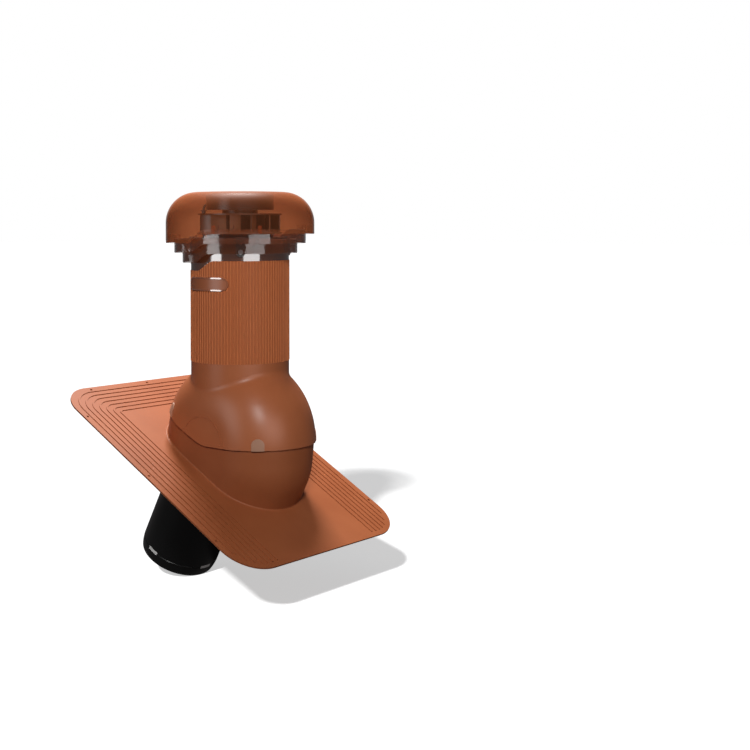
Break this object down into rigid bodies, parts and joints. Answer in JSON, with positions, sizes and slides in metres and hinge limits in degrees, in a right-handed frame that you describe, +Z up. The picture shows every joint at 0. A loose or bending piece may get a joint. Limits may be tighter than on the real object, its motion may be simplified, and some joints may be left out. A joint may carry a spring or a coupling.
{
  "type": "roof vent",
  "caption": "Powered roof vent for a pitched roof: ribbed flashing plate with half ball, pitch-set hood, fluted tube, oval rain cap over a fan, and a slide-in lower duct.",
  "frame": {"origin": "where the tube's axis meets the underside of the flashing plate, which lies on the roof", "axes": "+Z up along the tube, +X horizontally down the roof slope, +Y across the roof"},
  "size_m": [0.4924, 0.424, 0.7355],
  "materials": {
    "plate_plastic": "satin",
    "hood_plastic": "satin",
    "tube_plastic": "satin",
    "badge_plastic": "gloss",
    "cap_plastic": "satin",
    "ring_plastic": "gloss",
    "duct_plastic": "satin",
    "latch_plastic": "satin",
    "rubber": "matte",
    "pipe_plastic": "satin",
    "foam": "matte",
    "screw_steel": "satin",
    "fan_plastic": "satin",
    "fan_metal": "satin",
    "stator_steel": "satin",
    "bearing_steel": "satin",
    "lead_rubber": "satin",
    "conduit_plastic": "satin"
  },
  "bodies": {
    "roof_base": {"flashing_plate": "plate_plastic", "collar_seal": "rubber", "duct_collar": "duct_plastic", "collar_screws": "screw_steel"},
    "duct": {"lower_duct": "duct_plastic", "duct_seal": "rubber", "duct_latches": "latch_plastic"},
    "head": {"hood": "hood_plastic", "coupling_sleeve": "pipe_plastic", "outer_tube": "tube_plastic", "badge_left": "badge_plastic", "badge_right": "badge_plastic", "inner_pipe": "pipe_plastic", "insulation": "foam", "fan_flange": "fan_plastic", "flange_hooks": "fan_plastic", "hook_screws": "screw_steel", "inlet_ring": "fan_plastic", "lower_bearing": "bearing_steel", "upper_bearing": "bearing_steel", "bearing_seat": "fan_metal", "motor_housing": "fan_metal", "motor_cover": "fan_metal", "stator": "stator_steel", "motor_pad": "rubber", "cap_screws": "screw_steel", "rain_cap": "cap_plastic", "upper_louvre_ring": "ring_plastic", "lower_louvre_ring": "ring_plastic", "gland_body": "fan_plastic", "gland_nut": "fan_plastic", "fan_lead": "lead_rubber", "lead_grommet": "lead_rubber", "conduit": "conduit_plastic", "conduit_plug": "conduit_plastic", "conduit_clip": "conduit_plastic", "clip_screws": "screw_steel"},
    "fan": {"impeller": "fan_plastic", "fan_hub": "fan_metal", "fan_shaft": "bearing_steel", "motor_rotor": "stator_steel"}
  },
  "joints": [
    {"name": "roof_pitch", "type": "hinge", "parent": "roof_base", "child": "head", "pos_m": [0, 0, 0.06003], "axis": [0, -1, 0], "range_deg": [-3, 14]},
    {"name": "duct_slide", "type": "slide", "parent": "roof_base", "child": "duct", "axis": [0.4695, 0, 0.8829], "range_m": [0, 0.055]},
    {"name": "fan_spin", "type": "hinge", "parent": "head", "child": "fan", "pos_m": [0, 0, 0.46003], "axis": [0, 0, 1], "continuous": true}
  ]
}
